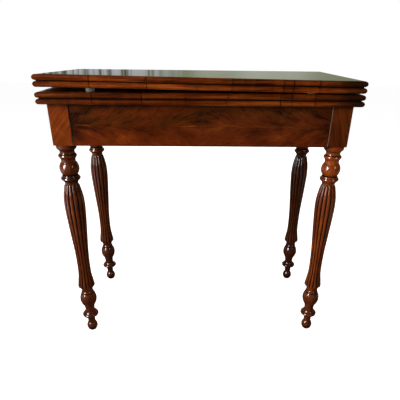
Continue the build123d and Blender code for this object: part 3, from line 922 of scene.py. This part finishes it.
class CARDTABLE_OT_carcase(bpy.types.Operator):
    """Finish the rails and the card well as bare wood"""

    bl_idname = "cardtable.carcase"
    bl_label = "Rails and card well"

    def execute(self, context):
        along = bare_wood("Carcase wood along")
        across = bare_wood("Carcase wood across", SIDEWAYS)
        upright = bare_wood("Carcase wood upright", UPRIGHT)
        # The front rail shows through the joint beside the left block; full painted shade makes it near-black
        # there
        behind = bare_wood("Carcase wood behind the veneer", dirt=1.0, filled=1.0)
        stained = polished_wood("Back rail mahogany", depth=0.9, ripple=0.1, coat=0.3, coat_roughness=0.2)
        for node, finish in (
            ("front_rail", behind), ("left_rail", across), ("right_rail", across),
            ("back_rail", stained), ("pivot_rail", across), ("well_partition", across),
            ("well_board", along), ("well_bearers", along),
        ):
            fit(node, "planed_" + node, "frame", finish, 0.5 * MM)
        fit("stop_peg", "whittled_stop_peg", "lower_leaf", upright, 0.3 * MM, 35)
        return {"FINISHED"}


# Top


class CARDTABLE_OT_boards(bpy.types.Operator):
    """Make the boards of both leaves; the upper one follows its twist"""

    bl_idname = "cardtable.boards"
    bl_label = "Leaf boards"

    def execute(self, context):
        finish = polished_wood("Leaf mahogany", depth=0.8, ripple=0.25, coat=1.0, coat_roughness=0.04,
                               dirt=0.2, reach=0.002, bump=0.03)
        fit("lower_leaf_panel", "lower_board", "lower_leaf", finish, degrees=35)

        top = settings().top
        half = top.width / 2 - top.lipping
        front, rear = -top.depth / 2 + top.lipping, top.depth / 2 - top.rear_gap
        cloth_and_band = 0.00135
        under = top.hinge_height + (top.face_gap + cloth_and_band)
        upper = block("upper_board", (-half, front, under), (half, rear, top.hinge_height + top.thickness))
        cut_columns(upper, columns=32)
        raise_leaf(upper)
        close_shape(upper)
        settle(upper, "upper_leaf", finish, "upper_leaf_panel")
        return {"FINISHED"}


def edging_section(name, side, length):
    """A length of double-beaded edging along +X from the origin, its outer side towards -Y."""
    top = settings().top
    low, high = top.face_gap, top.thickness
    bead = (high - low - top.quirk) / 4
    front = -top.lipping + bead
    arris = 0.5 * MM
    piece = block(name, (0, front, low), (arris * 2, 0, high))

    # Keep the face at the near end, clear the rest of the box and mark the quirk
    edit(piece)
    choose(piece, "FACE", lambda middle, item: abs(item.normal.x) < 0.5 or middle.x > arris)
    bpy.ops.mesh.delete(type="ONLY_FACE")
    choose(piece, "VERT", lambda middle, item: middle.x > arris)
    bpy.ops.mesh.delete(type="VERT")
    for level in (low + 2 * bead, low + 2 * bead + top.quirk):
        cut_through((0, 0, level), (0, 0, 1))

    # Draw both beads out and round them over
    def along_bead(middle, item):
        rise = abs(item.verts[0].co.z - item.verts[1].co.z)
        return abs(middle.y - front) < TINY and first < middle.z < last and rise > 2 * bead - MERGE

    for first, last in ((low, low + 2 * bead), (high - 2 * bead, high)):
        choose(piece, "EDGE", along_bead)
        draw_out((0, -bead, 0))
    choose(piece, "VERT", lambda middle, item: abs(middle.y + top.lipping) < TINY)
    bpy.ops.mesh.bevel(offset=bead, segments=9, affect="VERTICES", profile=0.5, clamp_overlap=True)
    bpy.ops.mesh.select_all(action="SELECT")
    bpy.ops.mesh.remove_doubles(threshold=MERGE / 2)

    # Run the section out to its length and ease both ends
    bpy.ops.mesh.select_mode(type="FACE")
    bpy.ops.mesh.select_all(action="SELECT")
    bpy.ops.transform.translate(value=(arris, 0, 0))
    draw_out((length - 2 * arris, 0, 0))
    edit(piece)
    choose(piece, "FACE", lambda middle, item: abs(item.normal.x) > 0.9)
    bpy.ops.mesh.inset(thickness=arris, depth=arris, use_individual=False)
    if side == LOWER:
        activate(piece)
        bpy.ops.transform.mirror(
            constraint_axis=(False, False, True), orient_type="GLOBAL", center_override=(0, 0, 0)
        )
        bpy.ops.object.transform_apply()
    close_shape(piece)
    return piece


def mitre(piece):
    """Cut a run of front edging at 45 degrees where it meets the end edgings."""
    top = settings().top
    for end in (-1, 1):
        edit(piece)
        corner = (end * top.width / 2, -top.depth / 2, 0)
        cut_through(corner, Vector((end, 1, 0)).normalized(), clear_outer=True, use_fill=True)
    bpy.ops.object.mode_set(mode="OBJECT")


class CARDTABLE_OT_edging(bpy.types.Operator):
    """Run the double-beaded edging in short lengths along the front and one length at each end"""

    bl_idname = "cardtable.edging"
    bl_label = "Beaded edging"

    def execute(self, context):
        top = settings().top
        half = top.width / 2
        to_spare = 0.001
        # Painted shade towards the right front corner of the end edging
        side_finish = polished_wood("End edging mahogany", SIDEWAYS, contrast=1.4, ripple=0.05, coat=1.0,
                                    coat_roughness=0.06, dirt=0.95, reach=0.004, bump=0.3,
                                    corner_shade=(0.34, 0.37, 0.7))
        # The upper run is a lighter copy of the lower one's mahogany, by painted light; both take painted
        # shade in the quirk and towards the right front corner
        for side, word, joints, tones, depth in (
            (LOWER, "lower", LOWER_JOINTS, LOWER_TONES_AND_LIGHT, 0.95),
            (UPPER, "upper", UPPER_JOINTS, UPPER_TONES_AND_LIGHT, 1.5),
        ):
            finish = polished_wood("Edging mahogany " + word, depth=depth, contrast=0.8, ripple=0.15,
                                   toned=True, coat=0.2, coat_roughness=0.12, dirt=0.98, reach=0.0035,
                                   bump=0.3, filled=1.0, sheen=0.02, corner_shade=(0.27, 0.375, 0.8))
            places = [-half] + [share * top.width for share in joints] + [half]
            lengths = []
            for number, (start, stop) in enumerate(zip(places, places[1:])):
                start += top.joint / 2 if number else -to_spare
                stop -= top.joint / 2 if number < len(joints) else -to_spare
                piece = edging_section(f"{word}_length_{number}", side, stop - start)
                tone = piece.data.attributes.new("tone", "FLOAT", "FACE")
                for face in tone.data:
                    face.value = tones[number]
                activate(piece)
                piece.location = (start, -top.depth / 2 + top.lipping, top.hinge_height)
                bpy.ops.object.transform_apply()
                lengths.append(piece)
            run = join(lengths, word + "_front_edging")
            mitre(run)
            if side == UPPER:
                cut_columns(run, columns=8)
                raise_leaf(run)
            close_shape(run, 30, FINE_MERGE)
            settle(run, word + "_leaf", finish, word + "_front_lipping")
            for end in ("left", "right"):
                node, name = f"{word}_{end}_lipping", f"{word}_{end}_edging"
                fit(node, name, word + "_leaf", side_finish, degrees=32)
        return {"FINISHED"}


class CARDTABLE_OT_playing_surface(bpy.types.Operator):
    """Lay the crossband and the baize on the inner face of each leaf"""

    bl_idname = "cardtable.playing_surface"
    bl_label = "Crossband and baize"

    def execute(self, context):
        top = settings().top
        # Painted shade: the crossband is darkened all over, as its front lies in shade between the shut
        # leaves; the baize takes painted shade as far as its reach
        band_finish = polished_wood("Crossband mahogany", SIDEWAYS, depth=0.5, ripple=0.2, coat=0.12,
                                    coat_roughness=0.3, reach=0.002)
        baize = woven_cloth("Baize", settings().colours.cloth, 2400.0, 0.5, reach=0.03)
        half = cloth_half()
        front = -top.depth / 2 + top.lipping + top.band
        rear = top.depth / 2 - top.rear_gap
        trim, glue, cloth = 0.0004, 0.0001, 0.0011
        for side, word in ((LOWER, "lower"), (UPPER, "upper")):
            fit(word + "_crossband", word + "_banding", word + "_leaf", band_finish)
            place = (0, (rear + front) / 2, top.hinge_height + side * (top.face_gap + glue))
            spread = (2 * half - trim, rear - front - trim, 1)
            sheet = begin(
                word + "_cloth", bpy.ops.mesh.primitive_grid_add, spread, x_subdivisions=66,
                y_subdivisions=34, size=1, location=place,
            )
            apply_modifier(sheet, "SOLIDIFY", thickness=cloth, offset=side)
            if side == UPPER:
                raise_leaf(sheet)
            close_shape(sheet, 60)
            settle(sheet, word + "_leaf", baize, word + "_baize")
        return {"FINISHED"}


class CARDTABLE_OT_pads(bpy.types.Operator):
    """Set the two felt pads that carry the front of the upper leaf"""

    bl_idname = "cardtable.pads"
    bl_label = "Pads"

    def execute(self, context):
        felt = woven_cloth("Pad felt", settings().colours.pad, 1500.0, 0.6)
        for end in ("left", "right"):
            low, high, middle = box_of(end + "_pad")
            height = high.z - low.z
            slack = 0.0003
            pad = begin(
                end + "_felt", bpy.ops.mesh.primitive_cylinder_add, vertices=48,
                radius=(high.x - low.x) / 2 - slack, depth=height, location=middle,
            )
            edit(pad)
            choose(pad, "FACE", lambda middle, item: abs(item.normal.z) > 0.9)
            for ring in (0.002, 0.004):
                bpy.ops.mesh.inset(thickness=ring, use_individual=True)
            ease(pad, min(0.0012, height * 0.3), segments=4, degrees=40)
            close_shape(pad, 60)
            settle(pad, "lower_leaf", felt, end + "_pad")
        return {"FINISHED"}


def wood_screw(name, place, outward, radius=0.0031):
    """Slotted screw head, flush with its plate, facing outward; its place decides how far it is turned."""
    depth, slot = 0.0006, 0.0004
    screw = begin(name, bpy.ops.mesh.primitive_cylinder_add, vertices=32, radius=radius, depth=depth)
    edit(screw)
    for y in (-slot, slot):
        cut_through((0, y, 0), (0, 1, 0))
    choose(screw, "FACE", lambda middle, item: item.normal.z > 0.9 and abs(middle.y) < slot)
    draw_out((0, 0, -slot))
    activate(screw)
    faced = Vector(outward).to_track_quat("Z", "Y").to_matrix().to_4x4()
    spin = Matrix.Rotation(sum(abs(value) for value in place) * 40, 4, "Z")
    screw.matrix_world = Matrix.Translation(place) @ faced @ spin
    bpy.ops.object.transform_apply()
    close_shape(screw)
    return screw


class CARDTABLE_OT_hinges(bpy.types.Operator):
    """Fit the brass end hinges with their pins and countersunk screws"""

    bl_idname = "cardtable.hinges"
    bl_label = "End hinges"

    def execute(self, context):
        top = settings().top
        brass = old_metal("Hinge brass", settings().colours.brass, (1, 0.02, 1))
        hinge_line = Vector((0, top.depth / 2, top.hinge_height))
        proud, plate_middle = 0.0001, 0.0067
        screw_runs = (0.014, 0.035, 0.057)
        for end, turn in (("left", -1), ("right", 1)):
            for side, word in ((LOWER, "lower"), (UPPER, "upper")):
                node = f"{word}_{end}_hinge_plate"
                pieces = [node_copy(node, f"{word}_{end}_hinge", 0.25 * MM)]
                face = max(abs(corner.x) for corner in box_of(node)[:2]) + proud
                angle = -twist_at(turn * top.width / 2) if side == UPPER else 0.0
                for number, run in enumerate(screw_runs):
                    arm = Matrix.Rotation(angle, 3, "X") @ Vector((0, -run, side * plate_middle))
                    place = Vector((turn * face, 0, 0)) + hinge_line + arm
                    pieces.append(wood_screw(f"screw_{number}", place, (turn, 0, 0)))
                hinge = join(pieces, f"{word}_{end}_hinge")
                settle(hinge, word + "_leaf", brass, node)
            fit(end + "_hinge_pin", end + "_pin", "lower_leaf", brass, 0.2 * MM)
        return {"FINISHED"}


class CARDTABLE_OT_pivot(bpy.types.Operator):
    """Fit the pivot of the top: plate with its screws, bolt, washer, nut and bush"""

    bl_idname = "cardtable.pivot"
    bl_label = "Pivot"

    def execute(self, context):
        colours = settings().colours
        steel = old_metal("Pivot steel", colours.steel, roughness=0.4)
        brass = old_metal("Bush brass", colours.brass, roughness=0.4)
        low, high, middle = box_of("pivot_plate")
        from_edge, proud = 0.010, 0.0001
        reach = (high.x - low.x) / 2 - from_edge
        pieces = [node_copy("pivot_plate", "pivot_plate_fitted", 0.3 * MM)]
        for x in (-reach, reach):
            for y in (-reach, reach):
                place = (middle.x + x, middle.y + y, low.z - proud)
                pieces.append(wood_screw(f"plate_screw_{len(pieces)}", place, (0, 0, -1), 0.004))
        plate = join(pieces, "pivot_plate_fitted")
        settle(plate, "lower_leaf", steel, "pivot_plate")
        for node in ("pivot_bolt", "pivot_washer", "pivot_nut"):
            fit(node, node + "_turned", "lower_leaf", steel, 0.4 * MM)
        fit("pivot_bush", "pivot_bush_turned", "frame", brass, 0.3 * MM)
        return {"FINISHED"}


# Stage


def kinds_of_ray(tree):
    """Masks for what the camera sees, and for what polish mirrors or glass lets through."""
    rays = add(tree, "ShaderNodeLightPath")
    return rays["Is Camera Ray"], rays["Is Glossy Ray"].maths("MAXIMUM", rays["Is Transmission Ray"])


def folds_at(place, detail, roughness):
    """Noise along one line."""
    return add(
        place.tree, "ShaderNodeTexNoise", {"noise_dimensions": "1D"}, W=place, Scale=1.0, Detail=detail,
        Roughness=roughness,
    )[0]


def surroundings():
    """Room that the polish mirrors: folds of curtain behind the table, dim elsewhere; white to the camera."""
    world = bpy.context.scene.world or bpy.data.worlds.new("Room")
    bpy.context.scene.world = world
    world.use_nodes = True
    tree = world.node_tree
    tree.nodes.clear()
    parts = add(tree, "ShaderNodeTexCoord")["Generated"].split()
    bearing = parts[0].maths("ARCTAN2", parts[1])
    folds = folds_at(bearing * 26.0, 4.0, 0.65)
    broad = folds_at(bearing * 5.0 + 3.7, 1.0, 0.5)
    sage = broad.step(0.35, 0.65).mix((0.26, 0.29, 0.19, 1), (0.46, 0.49, 0.40, 1))
    pale = folds.step(0.40, 0.54).mix((0.08, 0.09, 0.05, 1), (0.44, 0.46, 0.47, 1))
    curtain = bearing.step(-0.16, 0.02).mix(pale, sage)
    behind = parts[1].step(0.3, 0.8) * parts[2].step(0.75, 0.25)
    room = behind.mix((0.012, 0.012, 0.012, 1), curtain)
    to_camera, mirrored = kinds_of_ray(tree)
    seen = to_camera.mix(mirrored.mix((0.055, 0.055, 0.055, 1), room), (1, 1, 1, 1))
    background = add(tree, "ShaderNodeBackground", Color=seen, Strength=1.0)
    add(tree, "ShaderNodeOutputWorld", Surface=background[0])


def floor_finish(colour):
    """Pale floor that keeps the table's shadow, near white to the camera and clear from below.

    The polish mirrors it as a dim floor with a lit part on each side, painted light, and its left part glows
    for mirrored rays alone, a painted reflection; to other rays it is darker, so that it bounces less light.
    """
    material, tree, place = new_material(
        "Floor", Roughness=0.9, Specular_IOR_Level=0.1, Emission_Strength=0.93
    )
    to_camera, mirrored = kinds_of_ray(tree)
    pale = place.noise(3.0, 2.0).step(0.3, 0.7).mix(tuple(colour), scaled(colour, 0.985))
    # To rays other than the camera's the floor is darker, so that it bounces less light onto the table
    soft = to_camera.mix((0.30, 0.27, 0.23, 1), pale)
    parts = place.split()
    near = parts[1].step(-2.0, -1.3)
    left_side = parts[0].step(-0.8, -1.6) * near
    right_side = parts[0].step(0.7, 1.3) * near
    # Painted light: lit parts of the floor that only the polish mirrors, and at the left a glow that only the
    # polish sees, a painted reflection
    left_lit = left_side.mix((0.03, 0.028, 0.025, 1), (0.34, 0.35, 0.37, 1))
    mirrored_floor = right_side.mix(left_lit, (0.50, 0.52, 0.32, 1))
    mirrored_glow = (left_side * mirrored).mix((0, 0, 0, 1), (0.60, 0.60, 0.64, 1))
    underside = add(tree, "ShaderNodeNewGeometry")["Backfacing"]
    return dress(
        material, Base_Color=mirrored.mix(soft, mirrored_floor), Emission_Color=to_camera.mix(mirrored_glow, (1, 1, 1, 1)),
        Alpha=underside.rest(),
    )


def area_lamp(name, place, target, extent, power, colour):
    """A soft lamp, or a pane that only the polish mirrors."""
    mirrored = name.endswith("pane")
    deselect()
    bpy.ops.object.light_add(type="AREA", location=place)
    lamp = bpy.context.object
    lamp.name = name
    lamp.data.shape = "RECTANGLE"
    lamp.data.size, lamp.data.size_y = extent
    lamp.data.energy = power
    lamp.data.color = colour
    lamp.visible_glossy = mirrored
    lamp.visible_diffuse = not mirrored
    aim = Vector(target) - Vector(place)
    lamp.rotation_euler = aim.to_track_quat("-Z", "Y").to_euler()


class CARDTABLE_OT_stage(bpy.types.Operator):
    """Set the camera, the floor, the lamps and the surroundings"""

    bl_idname = "cardtable.stage"
    bl_label = "Stage"

    def execute(self, context):
        stage = settings().stage
        deselect()
        bpy.ops.object.camera_add(location=stage.camera_place)
        camera = bpy.context.object
        camera.name = "Camera"
        level = math.radians(90)
        turn = Matrix.Rotation(stage.yaw, 4, "Z") @ Matrix.Rotation(level - stage.pitch, 4, "X")
        turn @= Matrix.Rotation(stage.roll, 4, "Z")
        camera.matrix_world = Matrix.Translation(stage.camera_place) @ turn
        camera.data.sensor_width = 36.0
        camera.data.lens = stage.lens
        camera.data.shift_x = stage.shift_x
        camera.data.shift_y = stage.shift_y
        context.scene.camera = camera

        floor = begin("floor", bpy.ops.mesh.primitive_grid_add, x_subdivisions=4, y_subdivisions=4, size=16)
        floor.data.materials.append(floor_finish(stage.floor_colour))

        fill = stage.fill_power
        frieze, waist, near_left = (0, -0.1, 0.4), (0, 0, 0.45), (-0.1, -0.1, 0.5)
        warm, cool, white = (1.0, 0.95, 0.9), (0.97, 0.98, 1.0), (1, 1, 1)
        for lamp in (
            ("Key lamp", (-1.75, -0.72, 0.92), near_left, (0.5, 0.8), stage.key_power, (1.0, 0.96, 0.9)),
            ("Window", (-0.75, -2.3, 1.9), (0, 0, 0.4), (0.5, 0.7), fill * 1.5, (0.96, 0.98, 1.0)),
            ("Upper pane", (-1.35, -1.15, 1.45), frieze, (0.50, 0.44), 32.0, cool),
            ("Lower pane", (-1.35, -1.15, 0.98), frieze, (0.50, 0.44), 32.0, cool),
            ("Low pane", (-1.35, -1.15, 0.55), (0, -0.1, 0.3), (0.40, 0.30), 9.0, cool),
            ("Side pane", (1.25, -1.3, 1.15), frieze, (0.35, 0.45), 4.0, (0.93, 1.0, 0.88)),
            ("Fill lamp", (0.5, -2.4, 0.7), (0.1, 0, 0.5), (1.2, 1.2), fill * 3.5, (1.0, 0.93, 0.85)),
            ("Top lamp", (0.0, 0.3, 2.6), (0, 0, 0.5), (1.6, 1.2), fill, white),
            ("Back lamp", (0.5, 2.5, 0.9), waist, (1.6, 1.0), fill * 6.0, warm),
            ("Right lamp", (2.4, 0.5, 0.8), waist, (0.9, 1.0), fill * 4.0, warm),
        ):
            area_lamp(*lamp)
        surroundings()
        context.scene.view_settings.view_transform = "Standard"
        return {"FINISHED"}


class CARDTABLE_PT_panel(bpy.types.Panel):
    """Lists the pieces of the card table and its settings"""

    bl_label = "Card table"
    bl_idname = "CARDTABLE_PT_panel"
    bl_space_type = "VIEW_3D"
    bl_region_type = "UI"
    bl_category = "Card table"

    def draw(self, context):
        for made in PIECES:
            self.layout.operator(made.bl_idname, text=made.bl_label)
        for group in (settings().top, settings().leg, settings().colours, settings().stage):
            box = self.layout.box()
            for key in group.bl_rna.properties.keys():
                if key not in ("rna_type", "name"):
                    box.prop(group, key)


PIECES = (
    CARDTABLE_OT_stage,
    CARDTABLE_OT_legs,
    CARDTABLE_OT_blocks,
    CARDTABLE_OT_veneers,
    CARDTABLE_OT_carcase,
    CARDTABLE_OT_boards,
    CARDTABLE_OT_edging,
    CARDTABLE_OT_playing_surface,
    CARDTABLE_OT_pads,
    CARDTABLE_OT_hinges,
    CARDTABLE_OT_pivot,
)
CLASSES = (TopSizes, LegSizes, FinishColours, StageSettings, CardTable) + PIECES + (CARDTABLE_PT_panel,)


def register():
    for made in CLASSES:
        bpy.utils.register_class(made)
    bpy.types.Scene.card_table = bpy.props.PointerProperty(type=CardTable)


def unregister():
    del bpy.types.Scene.card_table
    for made in reversed(CLASSES):
        bpy.utils.unregister_class(made)


def main():
    register()
    for made in PIECES:
        getattr(bpy.ops.cardtable, made.bl_idname.split(".")[1])()
    deselect()


if __name__ == "__main__":
    main()
